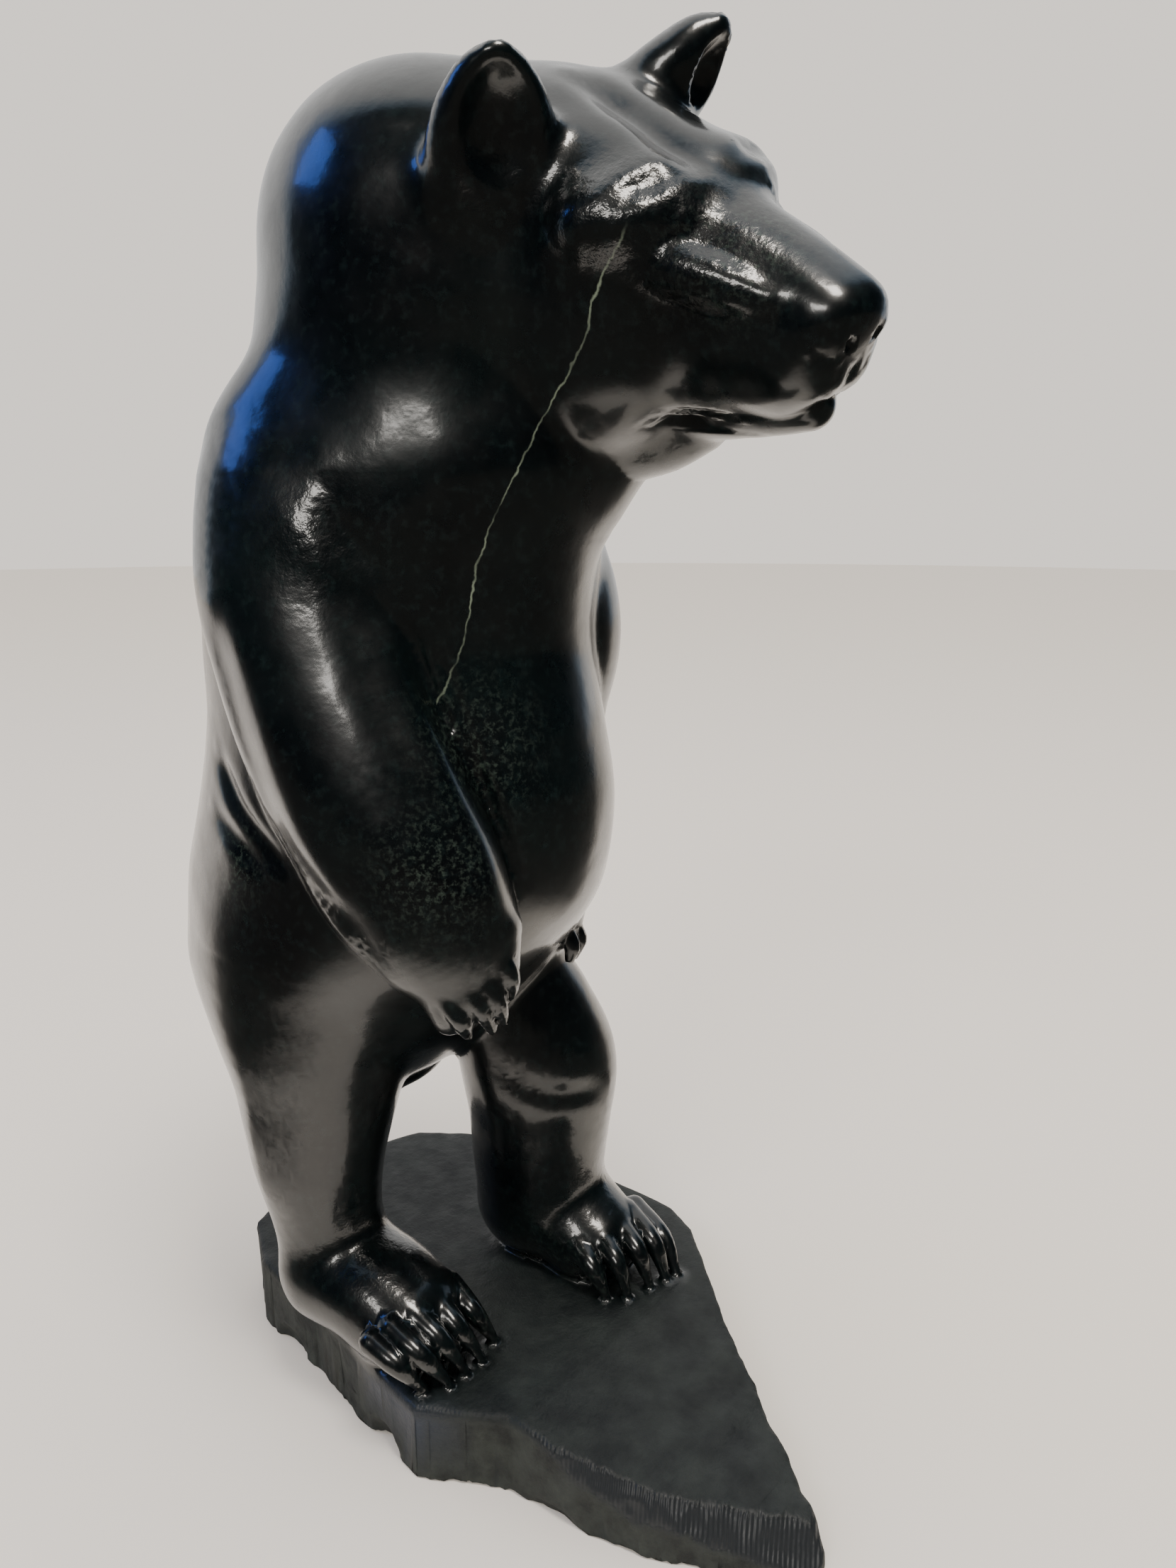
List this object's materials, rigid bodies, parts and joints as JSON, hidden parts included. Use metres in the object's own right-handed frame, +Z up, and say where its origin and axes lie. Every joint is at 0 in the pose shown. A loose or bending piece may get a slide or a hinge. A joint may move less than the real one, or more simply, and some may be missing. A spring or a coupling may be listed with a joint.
{
  "type": "carved bear statue",
  "caption": "Upright bear standing on a pointed slab of rock, head turned aside and forearms hanging, carved as one solid from dark green polished jade.",
  "frame": {"origin": "middle of the part's bounding box, on the plane of the slab's underside", "axes": "+Z up; the bear faces -Y, with its left side at +X"},
  "size_m": [0.1097, 0.1696, 0.2916],
  "materials": {
    "jade": "polished, with the rock slab left dull and sawn"
  },
  "bodies": {
    "root": {"bear_carving": "jade"}
  },
  "joints": []
}
